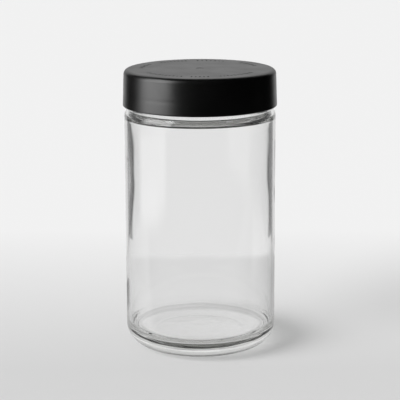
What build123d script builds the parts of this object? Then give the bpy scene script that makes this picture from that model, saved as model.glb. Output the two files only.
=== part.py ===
from build123d import *
import math
import os

# Specimen jar: a straight-sided glass jar with a short continuous-thread
# finish, closed by a one-piece black polypropylene screw cap that holds a
# foam liner with a bonded facing film.
# Millimetres, +Z up, origin on the table plane at the centre of the base.

# ---------------------------------------------------------------- jar body
body_r = 30.0          # outer radius of the straight wall
wall = 1.4             # straight wall thickness
inner_r = body_r - wall
heel_w = 10.6          # radial reach of the elliptical heel
heel_h = 8.6           # height of the elliptical heel
bearing_w = 1.0        # width of the flat bearing ring
pushup_r = 17.0        # radius where the underside turns into its shallow dome
pushup_h = 0.05        # height of the underside at that radius
pushup_top = 0.33      # height of the underside on the axis
floor_r = 24.4         # edge of the inner floor
floor_z = 7.35         # inner floor at that edge
floor_rise = 0.35      # the floor bows up by this much on the axis
step_r = 26.3          # a low step runs round the floor, up to this radius
step_z = 7.75          # and this height
corner_z = 10.4        # the corner has run into the straight wall here

# ---------------------------------------------------------------- shoulder
inner_shoulder_z = 92.3   # inner wall starts to draw in
shoulder_z = 93.7         # outer wall starts to draw in
neck_base_z = 97.0        # shoulder meets the neck
inner_neck_z = 96.6       # inner wall reaches the bore

# ------------------------------------------------- 58 mm one-start finish
neck_r = 27.3          # thread root radius
bore_r = 24.9          # mouth radius
rim_z = 109.35         # sealing land
lip_out = 0.8          # outer lip round
lip_in = 0.6           # inner lip round
pitch = 25.4 / 6       # six threads to the inch
thread_r = 28.5        # thread crest radius
thread_root_w = 2.4
thread_crest_w = 1.1
thread_turns = 1.3
thread_z0 = 101.0      # centre of the lower end of the jar's thread

# --------------------------------------------------------------------- cap
cap_z = 97.8           # open lower edge
top_z = 112.2          # top face
cap_r0 = 30.5          # outer radius at the lower edge
cap_r1 = 30.1          # outer radius at the top, before the round
cap_round = 2.0        # round between side and top
cap_inner_r = 28.9     # thread root radius inside the cap
cap_top_t = 1.6        # thickness of the top
cap_foot = 0.35        # small round at the lower outer edge
cap_thread_r = 27.75   # crest radius of the cap's thread
cap_thread_root_w = 1.6
cap_thread_crest_w = 0.8
cap_thread_turns = 1.35
cap_thread_drop = 1.7  # the cap's thread sits this far under the jar's
cap_thread_z0 = 99.3   # centre of the lower end of the cap's thread
bead_r = 28.35         # liner retaining bead
gate_r = 1.5
gate_depth = 0.08
mark_r = 23.2          # middle radius of the ring of plain tick marks
mark_len = 1.7
mark_w = 0.5
mark_depth = 0.15

# ------------------------------------------------------------------- liner
liner_r = 28.6
foam_t = 1.0
film_t = 0.15
seat = 0.05            # gap above the foam and under the film

os.makedirs("parts", exist_ok=True)


def turned(profile):
    """Revolve a closed (r, z) outline about +Z."""
    return revolve(Plane.XZ * make_face(profile), axis=Axis.Z)


def cap_arc(edge_r, edge_z, rise):
    """Arc from the axis to (edge_r, edge_z), centred on the axis, so that it
    turns into part of a sphere that stands rise above its edge."""
    ball = (edge_r**2 + rise**2) / (2 * rise)
    mid = edge_z + rise - ball + math.sqrt(ball**2 - edge_r**2 / 4)
    return ThreePointArc((0, edge_z + rise), (edge_r / 2, mid), (edge_r, edge_z))


def ring_thread(root_r, crest_r, root_w, crest_w, turns, z0, start_deg, bury):
    """One-start right-hand thread as a swept trapezium; bury is how far its
    root runs on into the wall it stands on."""
    sign = 1 if crest_r > root_r else -1
    path = Helix(pitch=pitch, height=pitch * turns, radius=root_r)
    here = Plane(origin=path @ 0, x_dir=(sign, 0, 0), z_dir=path % 0)
    grow = abs(crest_r - root_r)
    spread = bury * (root_w - crest_w) / 2 / grow
    section = here * Polygon(
        (-bury, -root_w / 2 - spread),
        (grow, -crest_w / 2),
        (grow, crest_w / 2),
        (-bury, root_w / 2 + spread),
        align=None,
    )
    swept = sweep(section, path=path, is_frenet=True)
    return Pos(0, 0, z0) * Rot(0, 0, start_deg) * swept


# =================================================================== glass
bearing_out = body_r - heel_w
bearing_in = bearing_out - bearing_w
outer = [
    Line((0, pushup_top), (0, floor_z + floor_rise)),
    # inner floor, bowed up a little
    cap_arc(floor_r, floor_z, floor_rise),
    # low step round the floor
    Bezier(
        (floor_r, floor_z),
        (floor_r + 0.6, floor_z - 0.02),
        (step_r - 0.7, step_z - 0.15),
        (step_r, step_z),
    ),
    # inner corner
    Bezier(
        (step_r, step_z),
        (step_r + 1.3, step_z + 0.28),
        (inner_r, step_z + 1.0),
        (inner_r, corner_z),
    ),
    Line((inner_r, corner_z), (inner_r, inner_shoulder_z)),
    # inner shoulder, an S from the wall to the bore
    Bezier(
        (inner_r, inner_shoulder_z),
        (inner_r, inner_shoulder_z + 0.55 * (inner_neck_z - inner_shoulder_z)),
        (bore_r, inner_neck_z - 0.40 * (inner_neck_z - inner_shoulder_z)),
        (bore_r, inner_neck_z),
    ),
    Line((bore_r, inner_neck_z), (bore_r, rim_z - lip_in)),
    ThreePointArc(
        (bore_r, rim_z - lip_in),
        (
            bore_r + lip_in - lip_in * math.cos(math.pi / 4),
            rim_z - lip_in + lip_in * math.sin(math.pi / 4),
        ),
        (bore_r + lip_in, rim_z),
    ),
    Line((bore_r + lip_in, rim_z), (neck_r - lip_out, rim_z)),
    ThreePointArc(
        (neck_r - lip_out, rim_z),
        (
            neck_r - lip_out + lip_out * math.sin(math.pi / 4),
            rim_z - lip_out + lip_out * math.cos(math.pi / 4),
        ),
        (neck_r, rim_z - lip_out),
    ),
    Line((neck_r, rim_z - lip_out), (neck_r, neck_base_z)),
    # outer shoulder, a quarter ellipse
    EllipticalCenterArc(
        (neck_r, shoulder_z), body_r - neck_r, neck_base_z - shoulder_z, 0, arc_size=90
    ),
    Line((body_r, shoulder_z), (body_r, heel_h)),
    # heel, a quarter ellipse
    EllipticalCenterArc((bearing_out, heel_h), heel_w, heel_h, 270, arc_size=90),
    Line((bearing_out, 0), (bearing_in, 0)),
    # underside: clears the table by a shallow dome
    Bezier(
        (bearing_in, 0),
        (bearing_in - 0.4, 0),
        (pushup_r + 0.5, pushup_h - 0.0165),
        (pushup_r, pushup_h),
    ),
    cap_arc(pushup_r, pushup_h, pushup_top - pushup_h),
]
jar = turned(outer)
jar = jar + ring_thread(
    neck_r, thread_r, thread_root_w, thread_crest_w, thread_turns, thread_z0, 150, 0.4
)

# ===================================================================== cap
cap_inside_z = top_z - cap_top_t
half = math.sin(math.pi / 4)
# where the round meets the drafted side
side = [
    Line((0, cap_inside_z), (0, top_z)),
    Line((0, top_z), (cap_r1 - cap_round, top_z)),
    ThreePointArc(
        (cap_r1 - cap_round, top_z),
        (cap_r1 - cap_round + cap_round * half, top_z - cap_round + cap_round * half),
        (cap_r1, top_z - cap_round),
    ),
    Line((cap_r1, top_z - cap_round), (cap_r0, cap_z + cap_foot)),
    ThreePointArc(
        (cap_r0, cap_z + cap_foot),
        (cap_r0 - cap_foot + cap_foot * half, cap_z + cap_foot - cap_foot * half),
        (cap_r0 - cap_foot, cap_z),
    ),
    Line((cap_r0 - cap_foot, cap_z), (cap_inner_r + 0.25, cap_z)),
    Line((cap_inner_r + 0.25, cap_z), (cap_inner_r, cap_z + 0.25)),
]
# liner retaining bead, just under the liner
bead_mid = cap_inside_z - seat - foam_t - film_t - 0.75
side += [
    Line((cap_inner_r, cap_z + 0.25), (cap_inner_r, bead_mid - 0.6)),
    Line((cap_inner_r, bead_mid - 0.6), (bead_r, bead_mid - 0.15)),
    Line((bead_r, bead_mid - 0.15), (bead_r, bead_mid + 0.15)),
    Line((bead_r, bead_mid + 0.15), (cap_inner_r, bead_mid + 0.6)),
    Line((cap_inner_r, bead_mid + 0.6), (cap_inner_r, cap_inside_z)),
    Line((cap_inner_r, cap_inside_z), (0, cap_inside_z)),
]
cap = turned(side)
# the cap's thread keeps to the jar's helix, cap_thread_drop lower
phase = 150 + 360 * (cap_thread_z0 - (thread_z0 - cap_thread_drop)) / pitch
cap = cap + ring_thread(
    cap_inner_r,
    cap_thread_r,
    cap_thread_root_w,
    cap_thread_crest_w,
    cap_thread_turns,
    cap_thread_z0,
    phase,
    0.4,
)
# gate mark and ring of plain tick marks, sunk into the top face
cap = cap - Pos(0, 0, top_z - gate_depth) * Cylinder(
    gate_r, 1.0, align=(Align.CENTER, Align.CENTER, Align.MIN)
)
groups = [(212, 252), (262, 278), (290, 328), (20, 44), (66, 92), (104, 132), (150, 176)]
ticks = []
for a0, a1 in groups:
    n = round((a1 - a0) / 4)
    for i in range(n + 1):
        a = a0 + (a1 - a0) * i / n
        length = mark_len if i % 2 == 0 else 0.6 * mark_len
        ticks.append(
            Rot(0, 0, a)
            * Pos(mark_r, 0, top_z - mark_depth)
            * Box(length, mark_w, 1.0, align=(Align.CENTER, Align.CENTER, Align.MIN))
        )
cap = cap - ticks

# =================================================================== liner
foam_top = cap_inside_z - seat
foam = Pos(0, 0, foam_top - foam_t) * Cylinder(
    liner_r, foam_t, align=(Align.CENTER, Align.CENTER, Align.MIN)
)
film = Pos(0, 0, foam_top - foam_t - film_t) * Cylinder(
    liner_r, film_t, align=(Align.CENTER, Align.CENTER, Align.MIN)
)

for name, shape in (
    ("glass_jar", jar),
    ("screw_cap", cap),
    ("liner_foam", foam),
    ("liner_facing", film),
):
    solids = shape.solids()
    print(name, len(solids), "solid(s)", round(sum(s.volume for s in solids), 1), "mm3")
    export_step(shape if len(solids) == 1 else Compound(children=solids), f"parts/{name}.step")
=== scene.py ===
import math
import random
import bpy
import bmesh
from mathutils import Matrix, Vector, noise


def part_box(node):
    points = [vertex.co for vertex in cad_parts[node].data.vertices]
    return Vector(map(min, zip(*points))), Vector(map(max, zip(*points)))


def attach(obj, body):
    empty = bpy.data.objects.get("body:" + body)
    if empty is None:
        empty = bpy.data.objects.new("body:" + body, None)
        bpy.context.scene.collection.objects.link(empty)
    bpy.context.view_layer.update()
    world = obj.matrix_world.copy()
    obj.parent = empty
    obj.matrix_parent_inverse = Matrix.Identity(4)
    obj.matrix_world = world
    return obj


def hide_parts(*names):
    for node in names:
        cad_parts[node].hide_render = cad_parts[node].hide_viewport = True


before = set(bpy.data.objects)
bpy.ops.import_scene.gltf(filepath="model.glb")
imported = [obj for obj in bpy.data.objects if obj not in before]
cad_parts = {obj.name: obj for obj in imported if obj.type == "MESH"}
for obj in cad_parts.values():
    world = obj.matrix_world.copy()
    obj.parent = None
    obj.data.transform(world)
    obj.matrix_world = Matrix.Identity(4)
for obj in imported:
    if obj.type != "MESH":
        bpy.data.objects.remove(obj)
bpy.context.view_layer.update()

MM = 0.001
scene = bpy.context.scene
scene.view_settings.view_transform = "Standard"
# light takes many turns inside thick glass
scene.cycles.max_bounces = 40
scene.cycles.glossy_bounces = 32
scene.cycles.transmission_bounces = 32

# --------------------------------------------------------------------------
# sizes, in millimetres, as in the CAD model
# --------------------------------------------------------------------------
jar_lo, jar_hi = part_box("glass_jar")
cap_lo, cap_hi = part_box("screw_cap")
foam_lo, foam_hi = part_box("liner_foam")
film_lo, film_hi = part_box("liner_facing")

BODY_R = jar_hi.x / MM
RIM_Z = jar_hi.z / MM
CAP_Z = cap_lo.z / MM
TOP_Z = cap_hi.z / MM
CAP_R0 = cap_hi.x / MM
CAP_R1 = CAP_R0 - 0.4

INNER_R = BODY_R - 1.4
HEEL_W, HEEL_H = 10.6, 8.6
BEAR_OUT = BODY_R - HEEL_W
BEAR_IN = BEAR_OUT - 1.0
PUSH_R, PUSH_H, PUSH_TOP = 17.0, 0.05, 0.33
FLOOR_Z, FLOOR_RISE, FLOOR_R = 7.35, 0.35, 24.4
STEP_R, STEP_Z = 26.0, 7.70
CORNER_TOP = 11.4
IN_SHOULDER_Z, SHOULDER_Z, NECK_Z, IN_NECK_Z = 92.3, 93.7, 97.0, 96.6
NECK_R, BORE_R = 27.3, 24.9
LIP_OUT, LIP_IN = 0.8, 0.6
PITCH = 25.4 / 6
THREAD_R = 28.5
THREAD_Z0, THREAD_TURNS, THREAD_START = 101.0, 1.3, 150.0
CAP_IN_R = 28.9
CAP_TOP_T = 1.6
CAP_ROUND = 2.0
CAP_THREAD_R = 27.75
CAP_THREAD_Z0, CAP_THREAD_TURNS, CAP_DROP = 99.3, 1.35, 1.7
BEAD_R = 28.35
MARK_R, MARK_LEN, MARK_W, MARK_DEPTH = 23.2, 1.7, 0.5, 0.19
GATE_R, GATE_DEPTH = 1.5, 0.08


# --------------------------------------------------------------------------
# outline helpers: lists of (r, z) points, finely sampled
# --------------------------------------------------------------------------
def line(a, b, n):
    return [(a[0] + (b[0] - a[0]) * i / n, a[1] + (b[1] - a[1]) * i / n) for i in range(n + 1)]


def arc(cx, cz, rx, rz, a0, a1, n):
    return [
        (
            cx + rx * math.cos(math.radians(a0 + (a1 - a0) * i / n)),
            cz + rz * math.sin(math.radians(a0 + (a1 - a0) * i / n)),
        )
        for i in range(n + 1)
    ]


def bez(p, n):
    out = []
    for i in range(n + 1):
        t = i / n
        u = 1 - t
        out.append(
            tuple(
                u**3 * p[0][k] + 3 * u * u * t * p[1][k] + 3 * u * t * t * p[2][k] + t**3 * p[3][k]
                for k in (0, 1)
            )
        )
    return out


def dome(r_edge, z_edge, rise, n):
    """From the axis out to the edge, on a sphere centred on the axis."""
    ball = (r_edge**2 + rise**2) / (2 * rise)
    out = []
    for i in range(n + 1):
        r = r_edge * i / n
        out.append((r, z_edge + rise - ball + math.sqrt(ball**2 - r * r)))
    return out


def join(*runs):
    out = []
    for run in runs:
        for p in run:
            if not out or math.dist(out[-1], p) > 1e-5:
                out.append(p)
    return out


def smooth01(t):
    t = min(1.0, max(0.0, t))
    return t * t * (3 - 2 * t)


# --------------------------------------------------------------------------
# lathe: a closed skin of revolution whose first and last points are on the
# axis, with a displacement function for everything that isn't round
# --------------------------------------------------------------------------
def lathe(name, outline, segs, shape=None, closed=False):
    """outline in mm; shape(phi, r, z, index) gives the moved (r, z)."""
    bm = bmesh.new()
    rings = []
    for k, (r, z) in enumerate(outline):
        if r < 1e-6:
            rings.append([bm.verts.new((0, 0, z * MM))])
            continue
        ring = []
        for i in range(segs):
            phi = 2 * math.pi * i / segs
            rr, zz = shape(phi, r, z, k) if shape else (r, z)
            ring.append(bm.verts.new((rr * math.cos(phi) * MM, rr * math.sin(phi) * MM, zz * MM)))
        rings.append(ring)
    pairs = list(zip(rings, rings[1:]))
    if closed:
        pairs.append((rings[-1], rings[0]))
    for a, b in pairs:
        for i in range(segs):
            j = (i + 1) % segs
            if len(a) == 1:
                bm.faces.new((a[0], b[i], b[j]))
            elif len(b) == 1:
                bm.faces.new((a[i], b[0], a[j]))
            else:
                bm.faces.new((a[i], b[i], b[j], a[j]))
    bmesh.ops.recalc_face_normals(bm, faces=bm.faces)
    for f in bm.faces:
        f.smooth = True
    me = bpy.data.meshes.new(name)
    bm.to_mesh(me)
    bm.free()
    ob = bpy.data.objects.new(name, me)
    scene.collection.objects.link(ob)
    return ob


def bead(phi, z, z0, turns, start_deg, half_root, half_crest, height, fade_deg=28.0):
    """Height of a helical bead at (phi, z), with run-outs at its two ends."""
    best = 0.0
    start = math.radians(start_deg)
    base = (phi - start) % (2 * math.pi)
    n = 0
    while True:
        t = base + 2 * math.pi * n
        if t > 2 * math.pi * turns:
            break
        d = abs(z - (z0 + PITCH * t / (2 * math.pi)))
        if d < half_root * 1.25:
            k = smooth01((half_root * 1.12 - d) / (half_root * 1.12 - half_crest * 0.75))
            ends = min(t, 2 * math.pi * turns - t) / math.radians(fade_deg)
            best = max(best, height * k * smooth01(ends))
        n += 1
    return best


# --------------------------------------------------------------------------
# glass jar
# --------------------------------------------------------------------------
jar_outline = join(
    dome(FLOOR_R, FLOOR_Z, FLOOR_RISE, 44),
    # a low step round the floor, then a tight corner
    bez([(FLOOR_R, FLOOR_Z), (FLOOR_R + 0.20, FLOOR_Z), (FLOOR_R + 0.25, FLOOR_Z + 0.22), (FLOOR_R + 0.50, FLOOR_Z + 0.24)], 8),
    line((FLOOR_R + 0.50, FLOOR_Z + 0.24), (STEP_R - 0.50, STEP_Z), 6),
    bez([(STEP_R - 0.50, STEP_Z), (STEP_R - 0.30, STEP_Z), (STEP_R - 0.25, STEP_Z - 0.22), (STEP_R, STEP_Z - 0.22)], 6),
    bez([(STEP_R, STEP_Z - 0.22), (STEP_R + 0.25, STEP_Z - 0.22), (STEP_R + 0.15, STEP_Z + 0.15), (STEP_R + 0.45, STEP_Z + 0.20)], 6),
    bez([(STEP_R + 0.45, STEP_Z + 0.20), (STEP_R + 1.4, STEP_Z + 0.62), (INNER_R, STEP_Z + 1.7), (INNER_R, CORNER_TOP)], 26),
    line((INNER_R, CORNER_TOP), (INNER_R, IN_SHOULDER_Z), 44),
    bez(
        [
            (INNER_R, IN_SHOULDER_Z),
            (INNER_R, IN_SHOULDER_Z + 0.55 * (IN_NECK_Z - IN_SHOULDER_Z)),
            (BORE_R, IN_NECK_Z - 0.40 * (IN_NECK_Z - IN_SHOULDER_Z)),
            (BORE_R, IN_NECK_Z),
        ],
        26,
    ),
    line((BORE_R, IN_NECK_Z), (BORE_R, RIM_Z - LIP_IN), 12),
    arc(BORE_R + LIP_IN, RIM_Z - LIP_IN, LIP_IN, LIP_IN, 180, 90, 8),
    line((BORE_R + LIP_IN, RIM_Z), (NECK_R - LIP_OUT, RIM_Z), 4),
    arc(NECK_R - LIP_OUT, RIM_Z - LIP_OUT, LIP_OUT, LIP_OUT, 90, 0, 8),
    line((NECK_R, RIM_Z - LIP_OUT), (NECK_R, NECK_Z), 62),
    arc(NECK_R, SHOULDER_Z, BODY_R - NECK_R, NECK_Z - SHOULDER_Z, 90, 0, 24),
    line((BODY_R, SHOULDER_Z), (BODY_R, HEEL_H), 44),
    arc(BEAR_OUT, HEEL_H, HEEL_W, HEEL_H, 0, -90, 30),
    line((BEAR_OUT, 0), (BEAR_IN, 0), 4),
    bez([(BEAR_IN, 0), (BEAR_IN - 0.4, 0.0), (PUSH_R + 0.5, PUSH_H - 0.0165), (PUSH_R, PUSH_H)], 10),
    dome(PUSH_R, PUSH_H, PUSH_TOP - PUSH_H, 36)[::-1],
)
OUTER_FROM = next(i for i, p in enumerate(jar_outline) if abs(p[1] - RIM_Z) < 1e-6)


def jar_shape(phi, r, z, k):
    c, s = math.cos(phi), math.sin(phi)
    if k < OUTER_FROM:
        # the inner skin of moulded glass is never quite true
        if r > FLOOR_R + 1e-6 and z < IN_NECK_Z:
            hold = smooth01((z - STEP_Z - 0.4) / 6.0) * smooth01((IN_NECK_Z - z) / 8.0)
            w = noise.noise(Vector((c * 1.3, s * 1.3, z * 0.028 + 3.1)))
            w += 0.45 * noise.noise(Vector((c * 3.1 + 5.0, s * 3.1, z * 0.07)))
            heavy = math.exp(-(((z - 67.0) / 9.0) ** 2))
            return r + hold * (0.07 + 0.13 * w - 0.14 * heavy), z
        if r <= FLOOR_R + 1e-6 and r > 1e-6:
            x, y = r * c, r * s
            lump = noise.noise(Vector((x * 0.11 + 2.0, y * 0.11, 1.7)))
            lump += 0.25 * noise.noise(Vector((x * 0.26, y * 0.26 + 4.0, 6.3)))
            return r, z + 0.06 * lump * smooth01((FLOOR_R - r) / 5.0) * smooth01(r / 3.0)
        return r, z
    if r < BEAR_IN - 0.5 and z < PUSH_TOP + 0.1 and r > 1e-6:
        # chilled, slightly rippled underside of the push-up
        x, y = r * c, r * s
        lump = noise.noise(Vector((x * 0.13 + 9.0, y * 0.13, 2.2)))
        lump += 0.25 * noise.noise(Vector((x * 0.33, y * 0.33 + 1.0, 8.8)))
        return r, z + 0.02 * lump * smooth01((BEAR_IN - 0.5 - r) / 3.0) * smooth01(r / 3.0)
    if z < HEEL_H and r > BEAR_OUT + 0.01:
        # the heel is a little uneven, in streaks that run round it
        w = noise.noise(Vector((c * 3.4, s * 3.4, z * 0.55 + 12.0))) + 0.5 * noise.noise(Vector((c * 8.0, s * 8.0, z * 1.3 + 3.0)))
        hold = smooth01(z / 1.2) * smooth01((HEEL_H - z) / 1.5)
        return r - 0.022 * hold * (1.0 + w), z
    # outside: thread
    if z > NECK_Z + 0.3 and r > NECK_R - 1e-6:
        h = bead(phi, z, THREAD_Z0, THREAD_TURNS, THREAD_START, 1.2, 0.55, THREAD_R - NECK_R)
        return r + h, z
    return r, z


jar = lathe("jar_glass_skin", jar_outline, 320, jar_shape)


# --------------------------------------------------------------------------
# materials
# --------------------------------------------------------------------------
def material(name):
    m = bpy.data.materials.new(name)
    m.use_nodes = True
    nt = m.node_tree
    nt.nodes.clear()
    return m, nt.nodes, nt.links


class Nodes:
    """Short names for building a node graph."""

    def __init__(self, tree):
        self.N, self.L = tree.nodes, tree.links

    def new(self, kind):
        return self.N.new(kind)

    def put(self, socket, v):
        if isinstance(v, (int, float)):
            socket.default_value = v
        else:
            self.L.new(v, socket)

    def math(self, op, a, b=None):
        n = self.new("ShaderNodeMath")
        n.operation = op
        self.put(n.inputs[0], a)
        if b is not None:
            self.put(n.inputs[1], b)
        return n.outputs[0]

    def steps(self, v, lo, hi):
        """0 below lo, 1 above hi."""
        n = self.new("ShaderNodeMapRange")
        n.interpolation_type = "SMOOTHSTEP"
        n.inputs["From Min"].default_value = lo
        n.inputs["From Max"].default_value = hi
        self.L.new(v, n.inputs["Value"])
        return n.outputs["Result"]

    def lerp(self, f, a, b):
        """a where f is 0, b where f is 1."""
        n = self.new("ShaderNodeMix")
        n.data_type = "FLOAT"
        self.put(n.inputs[0], f)
        self.put(n.inputs[2], a)
        self.put(n.inputs[3], b)
        return n.outputs[0]

    def shade(self, f, a, b):
        n = self.new("ShaderNodeMixShader")
        self.put(n.inputs["Fac"], f)
        self.L.new(a, n.inputs[1])
        self.L.new(b, n.inputs[2])
        return n.outputs[0]


def glass_material():
    m, N, L = material("clear_flint_glass")
    out = N.new("ShaderNodeOutputMaterial")
    p = N.new("ShaderNodeBsdfPrincipled")
    p.inputs["Base Color"].default_value = (0.990, 0.990, 0.988, 1)
    p.inputs["Roughness"].default_value = 0.0
    p.inputs["IOR"].default_value = 1.52
    p.inputs["Transmission Weight"].default_value = 1.0
    # faint ripple of pressed and blown glass
    geo = N.new("ShaderNodeTexCoord")
    nz = N.new("ShaderNodeTexNoise")
    nz.inputs["Scale"].default_value = 55.0
    nz.inputs["Detail"].default_value = 1.5
    bump = N.new("ShaderNodeBump")
    bump.inputs["Strength"].default_value = 0.05
    bump.inputs["Distance"].default_value = 0.0006
    L.new(geo.outputs["Object"], nz.inputs["Vector"])
    L.new(nz.outputs["Fac"], bump.inputs["Height"])
    L.new(bump.outputs["Normal"], p.inputs["Normal"])
    # painted shade: the glass colour is darkened at the moulded rings round the floor and in a band on the heel,
    # standing in for shade seen through the glass there
    g = Nodes(m.node_tree)
    gxyz = N.new("ShaderNodeSeparateXYZ")
    L.new(geo.outputs["Object"], gxyz.inputs[0])
    gx, gy, gz = gxyz.outputs
    gr = g.math("SQRT", g.math("ADD", g.math("MULTIPLY", gx, gx), g.math("MULTIPLY", gy, gy)))

    def band(v, a0, a1, b0, b1):
        return g.math("MULTIPLY", g.steps(v, a0 * MM, a1 * MM), g.math("SUBTRACT", 1.0, g.steps(v, b0 * MM, b1 * MM)))

    ring_a_shade = g.math("MULTIPLY", band(gr, 25.4, 25.9, 26.7, 27.2), band(gz, 6.9, 7.2, 8.2, 8.6))
    ring_b_shade = g.math("MULTIPLY", band(gr, 24.0, 24.3, 24.6, 24.9), band(gz, 6.9, 7.2, 8.2, 8.6))
    outside = g.steps(gr, 0.0200, 0.0215)
    heel_band_shade = g.math("MULTIPLY", outside, band(gz, 1.2, 2.2, 4.3, 5.0))
    # painted shade: 30% darker on the outer ring, 10% on the inner ring, 27% on the heel band
    painted_shade = g.math("MULTIPLY", ring_a_shade, 0.30)
    for k, w in ((ring_b_shade, 0.10), (heel_band_shade, 0.27)):
        painted_shade = g.math("ADD", painted_shade, g.math("MULTIPLY", k, w))
    tint_and_shade = g.math("MULTIPLY", g.math("SUBTRACT", 1.0, painted_shade), 0.990)
    tint_and_shade_colour = N.new("ShaderNodeCombineColor")
    for i in range(3):
        L.new(tint_and_shade, tint_and_shade_colour.inputs[i])
    L.new(tint_and_shade_colour.outputs[0], p.inputs["Base Color"])
    # lamps shine through; the heel, where the glass is deepest, bends their
    # light away and leaves a shade
    tr = N.new("ShaderNodeBsdfTransparent")
    xyz = N.new("ShaderNodeSeparateXYZ")
    L.new(geo.outputs["Object"], xyz.inputs[0])

    def step(v, lo, hi):
        n = N.new("ShaderNodeMapRange")
        n.interpolation_type = "SMOOTHSTEP"
        n.inputs["From Min"].default_value = lo
        n.inputs["From Max"].default_value = hi
        L.new(v, n.inputs["Value"])
        return n.outputs["Result"]

    flat = N.new("ShaderNodeCombineXYZ")
    L.new(xyz.outputs["X"], flat.inputs[0])
    L.new(xyz.outputs["Y"], flat.inputs[1])
    length = N.new("ShaderNodeVectorMath")
    length.operation = "LENGTH"
    L.new(flat.outputs[0], length.inputs[0])
    low = N.new("ShaderNodeMath")
    low.operation = "SUBTRACT"
    low.inputs[0].default_value = 1.0
    L.new(step(xyz.outputs["Z"], 0.007, 0.018), low.inputs[1])
    heel = N.new("ShaderNodeMath")
    heel.operation = "MULTIPLY"
    L.new(low.outputs[0], heel.inputs[0])
    L.new(step(length.outputs["Value"], 0.0235, 0.0285), heel.inputs[1])
    ramp = N.new("ShaderNodeValToRGB")
    L.new(heel.outputs[0], ramp.inputs["Fac"])
    ramp.color_ramp.elements[0].position = 0.0
    ramp.color_ramp.elements[0].color = (0.985, 0.985, 0.985, 1)
    ramp.color_ramp.elements[1].position = 1.0
    ramp.color_ramp.elements[1].color = (0.44, 0.445, 0.44, 1)
    lp = N.new("ShaderNodeLightPath")
    clear = N.new("ShaderNodeMix")
    clear.data_type = "RGBA"
    clear.inputs[7].default_value = (0.985, 0.985, 0.985, 1)
    L.new(lp.outputs["Is Diffuse Ray"], clear.inputs["Factor"])
    L.new(ramp.outputs["Color"], clear.inputs[6])
    L.new(clear.outputs[2], tr.inputs["Color"])
    lamps = N.new("ShaderNodeMixShader")
    L.new(lp.outputs["Is Shadow Ray"], lamps.inputs["Fac"])
    L.new(p.outputs["BSDF"], lamps.inputs[1])
    L.new(tr.outputs["BSDF"], lamps.inputs[2])
    mix = N.new("ShaderNodeMixShader")
    L.new(lp.outputs["Is Diffuse Ray"], mix.inputs["Fac"])
    L.new(lamps.outputs["Shader"], mix.inputs[1])
    L.new(tr.outputs["BSDF"], mix.inputs[2])
    L.new(mix.outputs["Shader"], out.inputs["Surface"])
    ab = N.new("ShaderNodeVolumeAbsorption")
    ab.inputs["Color"].default_value = (0.62, 0.64, 0.58, 1)
    ab.inputs["Density"].default_value = 4.5
    L.new(ab.outputs["Volume"], out.inputs["Volume"])
    return m


GLASS = glass_material()
jar.data.materials.append(GLASS)
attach(jar, "jar")
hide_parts("glass_jar")


# --------------------------------------------------------------------------
# screw cap: body as a lathe, top panel as a finer polar sheet with the sunk
# tick marks and the gate mark, one closed skin
# --------------------------------------------------------------------------
GROUPS = [(212, 252), (262, 278), (290, 328), (20, 44), (66, 92), (104, 132), (150, 176)]
TICKS = []
for a0, a1 in GROUPS:
    n = round((a1 - a0) / 4)
    for i in range(n + 1):
        TICKS.append((a0 + (a1 - a0) * i / n, MARK_LEN if i % 2 == 0 else 0.6 * MARK_LEN))


def tick_depth(deg, r):
    for a, length in TICKS:
        d = (deg - a + 180) % 360 - 180
        if abs(d) < 2.0:
            across = abs(math.radians(d)) * r
            along = abs(r - MARK_R)
            e = 0.07
            k = smooth01((MARK_W / 2 + e - across) / (2 * e)) * smooth01((length / 2 + e - along) / (2 * e))
            if k > 0:
                return k
    return 0.0


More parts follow.
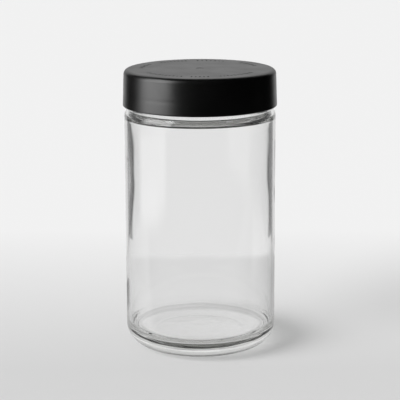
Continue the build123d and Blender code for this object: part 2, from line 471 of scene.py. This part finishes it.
def build_cap():
    inside = TOP_Z - CAP_TOP_T
    bead_mid = inside - 0.05 - 1.0 - 0.15 - 0.75
    # top face out to the mark ring, the ring, then over the edge, down the
    # side, in and up the inside to the axis
    coarse, fine = 360, 1440
    h = GATE_DEPTH / 2
    centre = join(
        [(0, TOP_Z - GATE_DEPTH)],
        line((0.5, TOP_Z - GATE_DEPTH), (GATE_R - h, TOP_Z - GATE_DEPTH), 3),
        arc(GATE_R - h, TOP_Z - GATE_DEPTH + h, h, h, -90, 0, 4),
        arc(GATE_R + h, TOP_Z - h, h, h, 180, 90, 4),
        line((GATE_R + h, TOP_Z), (MARK_R - 1.3, TOP_Z), 18),
    )
    ring = line((MARK_R - 1.2, TOP_Z), (MARK_R + 1.2, TOP_Z), 34)
    rest = join(
        line((MARK_R + 1.3, TOP_Z), (CAP_R1 - CAP_ROUND, TOP_Z), 6),
        arc(CAP_R1 - CAP_ROUND, TOP_Z - CAP_ROUND, CAP_ROUND, CAP_ROUND, 90, 1.6, 18),
        line((CAP_R1 - 0.002, TOP_Z - CAP_ROUND - 0.06), (CAP_R0, CAP_Z + 0.35), 36),
        arc(CAP_R0 - 0.35, CAP_Z + 0.35, 0.35, 0.35, 0, -90, 6),
        line((CAP_R0 - 0.35, CAP_Z), (CAP_IN_R + 0.25, CAP_Z), 4),
        line((CAP_IN_R + 0.25, CAP_Z), (CAP_IN_R, CAP_Z + 0.25), 2),
        line((CAP_IN_R, CAP_Z + 0.25), (CAP_IN_R, bead_mid - 0.6), 62),
        line((CAP_IN_R, bead_mid - 0.6), (BEAD_R, bead_mid - 0.15), 3),
        line((BEAD_R, bead_mid - 0.15), (BEAD_R, bead_mid + 0.15), 2),
        line((BEAD_R, bead_mid + 0.15), (CAP_IN_R, bead_mid + 0.6), 3),
        line((CAP_IN_R, bead_mid + 0.6), (CAP_IN_R, inside - 0.25), 3),
        arc(CAP_IN_R - 0.25, inside - 0.25, 0.25, 0.25, 0, 90, 4),
        line((CAP_IN_R - 0.25, inside), (1.0, inside), 20),
        [(0, inside)],
    )
    phase = THREAD_START + 360 * (CAP_THREAD_Z0 - (THREAD_Z0 - CAP_DROP)) / PITCH
    bm = bmesh.new()

    def place(phi, r, z):
        if abs(r - CAP_IN_R) < 1e-6 and z < bead_mid - 0.6:
            r -= bead(
                phi, z, CAP_THREAD_Z0, CAP_THREAD_TURNS, phase, 0.8, 0.4, CAP_IN_R - CAP_THREAD_R
            )
        if r > CAP_R1 - CAP_ROUND - 1 and z > CAP_Z + 0.2 and r > CAP_IN_R + 0.4:
            # sink line over the thread inside
            d = z - (CAP_Z + 5.2)
            r -= 0.02 * math.exp(-d * d / 0.5)
        return (r * math.cos(phi) * MM, r * math.sin(phi) * MM, z * MM)

    def ring_verts(r, z, n):
        if r < 1e-6:
            return [bm.verts.new((0, 0, z * MM))]
        return [bm.verts.new(place(2 * math.pi * i / n, r, z)) for i in range(n)]

    def strip(a, b):
        na, nb = len(a), len(b)
        if na == nb:
            for i in range(na):
                j = (i + 1) % na
                bm.faces.new((a[i], b[i], b[j], a[j]))
        elif na == 1 or nb == 1:
            n = max(na, nb)
            hub, rim = (a[0], b) if na == 1 else (b[0], a)
            for i in range(n):
                bm.faces.new((hub, rim[i], rim[(i + 1) % n]))
        else:
            few, many = (a, b) if na < nb else (b, a)
            k = len(many) // len(few)
            for i in range(len(few)):
                j = (i + 1) % len(few)
                m = [many[(i * k + q) % len(many)] for q in range(k + 1)]
                half = k // 2
                for q in range(half):
                    bm.faces.new((few[i], m[q], m[q + 1]))
                bm.faces.new((few[i], m[half], few[j]))
                for q in range(half, k):
                    bm.faces.new((few[j], m[q], m[q + 1]))

    rings = [ring_verts(r, z, coarse) for r, z in centre]
    fine_rings = []
    for r, z in ring:
        row = []
        for i in range(fine):
            k = tick_depth(360 * i / fine, r)
            phi = 2 * math.pi * i / fine
            row.append(bm.verts.new((r * math.cos(phi) * MM, r * math.sin(phi) * MM, (z - MARK_DEPTH * k) * MM)))
        fine_rings.append(row)
    rings += fine_rings
    rings += [ring_verts(r, z, coarse) for r, z in rest]
    for a, b in zip(rings, rings[1:]):
        strip(a, b)
    bmesh.ops.recalc_face_normals(bm, faces=bm.faces)
    for f in bm.faces:
        f.smooth = True
    me = bpy.data.meshes.new("cap_shell")
    bm.to_mesh(me)
    bm.free()
    ob = bpy.data.objects.new("cap_shell", me)
    scene.collection.objects.link(ob)
    return ob


cap = build_cap()


def cap_material():
    m, N, L = material("black_satin_polypropylene")
    out = N.new("ShaderNodeOutputMaterial")
    p = N.new("ShaderNodeBsdfPrincipled")
    tc = N.new("ShaderNodeTexCoord")
    # moulded grain: fine spark-eroded texture, a little stronger on the top
    grain = N.new("ShaderNodeTexNoise")
    grain.inputs["Scale"].default_value = 3200.0
    grain.inputs["Detail"].default_value = 3.0
    L.new(tc.outputs["Object"], grain.inputs["Vector"])
    bump = N.new("ShaderNodeBump")
    bump.inputs["Strength"].default_value = 0.25
    bump.inputs["Distance"].default_value = 0.00003
    L.new(grain.outputs["Fac"], bump.inputs["Height"])
    L.new(bump.outputs["Normal"], p.inputs["Normal"])
    # slow change of gloss, as flow in the mould and handling leave it
    big = N.new("ShaderNodeTexNoise")
    big.inputs["Scale"].default_value = 90.0
    big.inputs["Detail"].default_value = 4.0
    L.new(tc.outputs["Object"], big.inputs["Vector"])
    rr = N.new("ShaderNodeMapRange")
    rr.inputs["From Min"].default_value = 0.3
    rr.inputs["From Max"].default_value = 0.7
    rr.inputs["To Min"].default_value = 0.29
    rr.inputs["To Max"].default_value = 0.36
    L.new(big.outputs["Fac"], rr.inputs["Value"])
    L.new(rr.outputs["Result"], p.inputs["Roughness"])
    cr = N.new("ShaderNodeValToRGB")
    cr.color_ramp.elements[0].color = (0.0012, 0.0012, 0.0012, 1)
    cr.color_ramp.elements[1].color = (0.0022, 0.0022, 0.0022, 1)
    L.new(big.outputs["Fac"], cr.inputs["Fac"])
    L.new(cr.outputs["Color"], p.inputs["Base Color"])
    p.inputs["IOR"].default_value = 1.49
    L.new(p.outputs["BSDF"], out.inputs["Surface"])
    return m


cap.data.materials.append(cap_material())
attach(cap, "cap")
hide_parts("screw_cap")


# --------------------------------------------------------------------------
# liner: foam disc and bonded facing film
# --------------------------------------------------------------------------
def disc(name, r, z0, z1, edge, segs=256):
    outline = join(
        [(0, z1)],
        line((1.0, z1), (r - edge, z1), 24),
        arc(r - edge, z1 - edge, edge, edge, 90, 0, 5),
        arc(r - edge, z0 + edge, edge, edge, 0, -90, 5),
        line((r - edge, z0), (1.0, z0), 24),
        [(0, z0)],
    )
    return lathe(name, outline, segs)


foam = disc("liner_foam_disc", foam_hi.x / MM, foam_lo.z / MM, foam_hi.z / MM, 0.12)
film = disc("liner_facing_film", film_hi.x / MM, film_lo.z / MM, film_hi.z / MM, 0.05)


def foam_material():
    m, N, L = material("white_pe_foam")
    out = N.new("ShaderNodeOutputMaterial")
    p = N.new("ShaderNodeBsdfPrincipled")
    tc = N.new("ShaderNodeTexCoord")
    cells = N.new("ShaderNodeTexVoronoi")
    cells.inputs["Scale"].default_value = 2600.0
    L.new(tc.outputs["Object"], cells.inputs["Vector"])
    bump = N.new("ShaderNodeBump")
    bump.inputs["Strength"].default_value = 0.5
    bump.inputs["Distance"].default_value = 0.00008
    L.new(cells.outputs["Distance"], bump.inputs["Height"])
    L.new(bump.outputs["Normal"], p.inputs["Normal"])
    cr = N.new("ShaderNodeValToRGB")
    cr.color_ramp.elements[0].color = (0.70, 0.70, 0.68, 1)
    cr.color_ramp.elements[1].color = (0.86, 0.86, 0.84, 1)
    L.new(cells.outputs["Distance"], cr.inputs["Fac"])
    L.new(cr.outputs["Color"], p.inputs["Base Color"])
    p.inputs["Roughness"].default_value = 0.7
    L.new(p.outputs["BSDF"], out.inputs["Surface"])
    return m


def film_material():
    m, N, L = material("facing_film")
    out = N.new("ShaderNodeOutputMaterial")
    p = N.new("ShaderNodeBsdfPrincipled")
    tc = N.new("ShaderNodeTexCoord")
    nz = N.new("ShaderNodeTexNoise")
    nz.inputs["Scale"].default_value = 260.0
    nz.inputs["Detail"].default_value = 3.0
    L.new(tc.outputs["Object"], nz.inputs["Vector"])
    cr = N.new("ShaderNodeValToRGB")
    cr.color_ramp.elements[0].color = (0.80, 0.80, 0.78, 1)
    cr.color_ramp.elements[1].color = (0.90, 0.90, 0.88, 1)
    L.new(nz.outputs["Fac"], cr.inputs["Fac"])
    L.new(cr.outputs["Color"], p.inputs["Base Color"])
    bump = N.new("ShaderNodeBump")
    bump.inputs["Strength"].default_value = 0.15
    bump.inputs["Distance"].default_value = 0.00005
    L.new(nz.outputs["Fac"], bump.inputs["Height"])
    L.new(bump.outputs["Normal"], p.inputs["Normal"])
    p.inputs["Roughness"].default_value = 0.32
    L.new(p.outputs["BSDF"], out.inputs["Surface"])
    return m


foam.data.materials.append(foam_material())
film.data.materials.append(film_material())
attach(foam, "liner")
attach(film, "liner")
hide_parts("liner_foam")
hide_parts("liner_facing")

# --------------------------------------------------------------------------
# studio: pale table, soft light, dark surround for reflections
# --------------------------------------------------------------------------
TABLE_BACK = 0.135      # where the table gives way to the backdrop, through the object
FLAG_FROM = 0.172       # the dark flags begin behind this
FLAG_L, FLAG_R, FLAG_OUT = 10.8, 11.4, 33.0   # their angles either side of the back, in degrees
FLAG_TONE = 0.0
SPREAD = 35.0           # half angle of the bright backdrop as reflections see it
PALE, PALE_THROUGH, PALE_INNER = 0.879, 0.868, 0.80   # plain, through the glass, turned inside it
KEY, AMBIENT = 0.52, 0.52


def surround(g, lp, angle, height=None):
    """What stands round the table: pale at the back; for light that has come
    straight through the object two dark flags; for reflections a dark room.
    height is the sine of the elevation, where it is above the table."""
    away = g.math("ABSOLUTE", angle)
    reflected = g.math("GREATER_THAN", lp.outputs["Glossy Depth"], 0.5)
    inside = g.math("GREATER_THAN", lp.outputs["Transmission Depth"], 0.5)
    left = g.steps(g.math("MULTIPLY", angle, -1.0), FLAG_L - 1.0, FLAG_L + 1.5)
    right = g.steps(angle, FLAG_R - 1.5, FLAG_R + 2.0)
    flag = g.math("MULTIPLY", g.math("MAXIMUM", left, right), g.math("SUBTRACT", 1.0, g.steps(away, FLAG_OUT, FLAG_OUT + 5)))
    # only for light that has crossed both walls
    flag = g.math("MULTIPLY", flag, g.lerp(g.math("GREATER_THAN", lp.outputs["Transmission Depth"], 2.5), 0.45, 1.0))
    room = g.lerp(inside, 0.002, 0.36 if height is None else 0.62)
    back, back_through = g.lerp(inside, PALE, 0.60), PALE_THROUGH
    if height is not None:
        # the backdrop is lit from above and ends there; a grey ceiling shows in the glass
        top = g.lerp(g.steps(height, 0.36, 0.50), 0.62, 1.25)
        top = g.lerp(g.steps(height, 0.66, 0.80), top, 0.0)
        ceiling = g.steps(height, 0.38, 0.62)
        back_through = g.lerp(ceiling, PALE_THROUGH, 0.38)
        back = g.lerp(inside, top, g.lerp(ceiling, PALE_INNER, 0.36))
        flag = g.math("MULTIPLY", flag, 0.25)
    through = g.lerp(flag, back_through, FLAG_TONE)
    mirrored = g.lerp(g.steps(away, SPREAD - 3, SPREAD + 3), back, room)
    mirrored = g.lerp(g.math("MULTIPLY", flag, g.math("MULTIPLY", inside, 0.30)), mirrored, FLAG_TONE)
    return g.lerp(reflected, through, mirrored)


def floor_material():
    m, N, L = material("table")
    g = Nodes(m.node_tree)
    out = N.new("ShaderNodeOutputMaterial")
    tc = N.new("ShaderNodeTexCoord")
    xyz = N.new("ShaderNodeSeparateXYZ")
    L.new(tc.outputs["Object"], xyz.inputs[0])
    X, Y = xyz.outputs["X"], xyz.outputs["Y"]
    lp = N.new("ShaderNodeLightPath")
    total = KEY + AMBIENT
    # the table grows lighter towards the back
    mr = N.new("ShaderNodeMapRange")
    mr.inputs["From Min"].default_value = -0.035
    mr.inputs["From Max"].default_value = 0.190
    L.new(Y, mr.inputs["Value"])
    ramp = N.new("ShaderNodeValToRGB")
    el = ramp.color_ramp.elements
    el[0].position, el[1].position = 0.0, 1.0
    el[0].color = (0.668 / total,) * 3 + (1,)
    el[1].color = (0.884 / total,) * 3 + (1,)
    L.new(mr.outputs["Result"], ramp.inputs["Fac"])
    r_here = g.math("SQRT", g.math("ADD", g.math("MULTIPLY", X, X), g.math("MULTIPLY", Y, Y)))
    # and melts into the backdrop all round, further out
    far = N.new("ShaderNodeMix")
    far.data_type = "RGBA"
    L.new(g.steps(r_here, 0.26, 0.95), far.inputs["Factor"])
    L.new(ramp.outputs["Color"], far.inputs[6])
    far.inputs[7].default_value = (0.882 / total,) * 3 + (1,)
    seen_plain = far.outputs[2]
    # in the object: the near table, darker towards the front for reflections
    reflected = g.math("GREATER_THAN", lp.outputs["Glossy Depth"], 0.5)
    inside = g.math("GREATER_THAN", lp.outputs["Transmission Depth"], 0.5)
    front = g.steps(g.math("MULTIPLY", Y, -1.0), 0.024, 0.040)
    # painted shadow: as seen in the object, the near table is darkened by up to 31% towards the right, where the jar's
    # soft shadow falls, and by 5% on the left; this fades out from 0.12 to 0.20 m from the middle
    shade = g.math("ADD", g.math("MULTIPLY", g.steps(X, 0.014, 0.060), 0.31), g.math("MULTIPLY", g.steps(g.math("MULTIPLY", X, -1.0), 0.020, 0.045), 0.05))
    shade = g.math("MULTIPLY", shade, g.math("SUBTRACT", 1.0, g.steps(r_here, 0.12, 0.20)))
    open_tone = g.math("MULTIPLY", g.math("SUBTRACT", 1.0, shade), 0.785)
    open_tone = g.lerp(reflected, open_tone, g.math("MULTIPLY", open_tone, 0.85))
    tone = g.lerp(g.math("MULTIPLY", reflected, front), open_tone, g.lerp(inside, 0.02, 0.40))
    near = N.new("ShaderNodeCombineColor")
    v = g.math("DIVIDE", tone, total)
    for i in range(3):
        L.new(v, near.inputs[i])
    d = N.new("ShaderNodeBsdfDiffuse")
    pick = N.new("ShaderNodeMix")
    pick.data_type = "RGBA"
    L.new(lp.outputs["Is Camera Ray"], pick.inputs["Factor"])
    L.new(near.outputs[0], pick.inputs[6])
    L.new(seen_plain, pick.inputs[7])
    L.new(pick.outputs[2], d.inputs["Color"])
    # beyond the table, what is seen in the object is the surround
    beyond = g.math("MAXIMUM", g.steps(Y, TABLE_BACK - 0.009, TABLE_BACK + 0.006), g.steps(r_here, 0.15, 0.34))
    moved = g.math("MAXIMUM", reflected, inside)
    lit = g.math("LESS_THAN", lp.outputs["Diffuse Depth"], 0.5)
    # allow for how far off the middle the light left the object
    side = g.math("MULTIPLY", g.math("SIGN", X), g.math("MAXIMUM", g.math("SUBTRACT", g.math("ABSOLUTE", X), 0.027), 0.0))
    angle = g.math("MULTIPLY", g.math("ARCTAN2", side, Y), 180 / math.pi)
    inner = g.math("LESS_THAN", Y, FLAG_FROM)
    calm = g.lerp(g.math("MULTIPLY", inner, g.math("SUBTRACT", 1.0, reflected)), surround(g, lp, angle), PALE_THROUGH)
    # painted light: for rays that come off or through the object, the table glows with a fixed tone instead of being
    # lit, for 65% of it near the jar and wholly beyond the table
    painted_glow = N.new("ShaderNodeEmission")
    L.new(g.lerp(beyond, tone, calm), painted_glow.inputs["Strength"])
    use = g.math("MULTIPLY", g.math("MULTIPLY", g.lerp(beyond, 0.65, 1.0), moved), lit)
    L.new(g.shade(use, d.outputs[0], painted_glow.outputs[0]), out.inputs["Surface"])
    return m


def make_floor():
    bm = bmesh.new()
    s = 14.0
    n = 8
    grid = [[bm.verts.new((-s + 2 * s * i / n, -s + 2 * s * j / n, 0)) for i in range(n + 1)] for j in range(n + 1)]
    for j in range(n):
        for i in range(n):
            bm.faces.new((grid[j][i], grid[j][i + 1], grid[j + 1][i + 1], grid[j + 1][i]))
    me = bpy.data.meshes.new("table_top")
    bm.to_mesh(me)
    bm.free()
    ob = bpy.data.objects.new("table_top", me)
    scene.collection.objects.link(ob)
    ob.location.z = -0.00002
    ob.data.materials.append(floor_material())
    return ob


make_floor()

world = bpy.data.worlds.new("studio")
scene.world = world
world.use_nodes = True
WN, WL = world.node_tree.nodes, world.node_tree.links
WN.clear()
w_out = WN.new("ShaderNodeOutputWorld")
w_lp = WN.new("ShaderNodeLightPath")
w_tc = WN.new("ShaderNodeTexCoord")
w_xyz = WN.new("ShaderNodeSeparateXYZ")
WL.new(w_tc.outputs["Generated"], w_xyz.inputs[0])
wg = Nodes(world.node_tree)
w_angle = wg.math("MULTIPLY", wg.math("ARCTAN2", w_xyz.outputs["X"], w_xyz.outputs["Y"]), 180 / math.pi)
w_bounced = wg.math("GREATER_THAN", w_lp.outputs["Diffuse Depth"], 0.5)
w_level = wg.lerp(w_lp.outputs["Is Camera Ray"], surround(wg, w_lp, w_angle, w_xyz.outputs["Z"]), PALE)
w_level = wg.lerp(w_bounced, w_level, AMBIENT)
back = WN.new("ShaderNodeBackground")
back.inputs["Color"].default_value = (1, 1, 1, 1)
WL.new(w_level, back.inputs["Strength"])
WL.new(back.outputs[0], w_out.inputs["Surface"])
world.cycles.sampling_method = "NONE"


def sun(name, direction, strength, angle):
    d = bpy.data.lights.new(name, "SUN")
    d.energy = strength
    d.angle = math.radians(angle)
    o = bpy.data.objects.new(name, d)
    scene.collection.objects.link(o)
    o.rotation_mode = "QUATERNION"
    o.rotation_quaternion = Vector(direction).to_track_quat("Z", "Y")
    o.visible_glossy = False
    o.visible_transmission = False
    return o


KEY_DIR = Vector((-0.80, -0.46, 0.47)).normalized()
sun("key", KEY_DIR, KEY * math.pi / KEY_DIR.z, 40)


def softbox(name, x, y0, y1, z0, z1, radiance, fy, fz):
    """A sheet of light at x facing the object, feathered at its edges; only
    reflections see it."""
    bm = bmesh.new()
    n = 24
    grid = [
        [bm.verts.new((x, y0 + (y1 - y0) * i / n, z0 + (z1 - z0) * j / n)) for i in range(n + 1)]
        for j in range(n + 1)
    ]
    for j in range(n):
        for i in range(n):
            bm.faces.new((grid[j][i], grid[j][i + 1], grid[j + 1][i + 1], grid[j + 1][i]))
    me = bpy.data.meshes.new(name)
    bm.to_mesh(me)
    bm.free()
    ob = bpy.data.objects.new(name, me)
    scene.collection.objects.link(ob)
    m, N, L = material(name)
    g = Nodes(m.node_tree)
    out = N.new("ShaderNodeOutputMaterial")
    tc = N.new("ShaderNodeTexCoord")
    xyz = N.new("ShaderNodeSeparateXYZ")
    L.new(tc.outputs["Object"], xyz.inputs[0])
    Y, Z = xyz.outputs["Y"], xyz.outputs["Z"]
    k = g.math("MULTIPLY", g.steps(Y, y0, y0 + fy), g.math("SUBTRACT", 1.0, g.steps(Y, y1 - fy, y1)))
    k = g.math("MULTIPLY", k, g.math("MULTIPLY", g.steps(Z, z0, z0 + fz), g.math("SUBTRACT", 1.0, g.steps(Z, z1 - fz, z1))))
    e = N.new("ShaderNodeEmission")
    lp = N.new("ShaderNodeLightPath")
    inside = g.math("GREATER_THAN", lp.outputs["Transmission Depth"], 0.5)
    L.new(g.lerp(inside, radiance, 0.86), e.inputs["Strength"])
    gone = N.new("ShaderNodeBsdfTransparent")
    L.new(g.shade(k, gone.outputs[0], e.outputs[0]), out.inputs["Surface"])
    ob.data.materials.append(m)
    ob.visible_camera = False
    ob.visible_diffuse = False
    ob.visible_shadow = False
    return ob


softbox("left_reflector", -0.19, -0.18, 0.045, 0.002, 0.075, 1.25, 0.045, 0.022)
softbox("left_softbox", -0.20, -0.255, 0.030, 0.060, 0.38, 5.8, 0.07, 0.02)

# --------------------------------------------------------------------------
# camera
# --------------------------------------------------------------------------
cam_data = bpy.data.cameras.new("camera")
cam = bpy.data.objects.new("camera", cam_data)
scene.collection.objects.link(cam)
cam_data.sensor_width = 36.0
cam_data.lens = 1543.9 * 36.0 / 400.0
cam_data.clip_start = 0.01
cam_data.clip_end = 60.0
UNIT = BODY_R * MM
th, roll = 0.2222, 0.0033
cam.location = (-0.25 / 1543.9 * 20.15 * UNIT, -20.1474 * UNIT, 6.5202 * UNIT)
forward = Vector((0, math.cos(th), -math.sin(th)))
q = forward.to_track_quat("-Z", "Y")
cam.rotation_mode = "QUATERNION"
cam.rotation_quaternion = q @ Matrix.Rotation(-roll, 4, "Z").to_quaternion()
scene.camera = cam
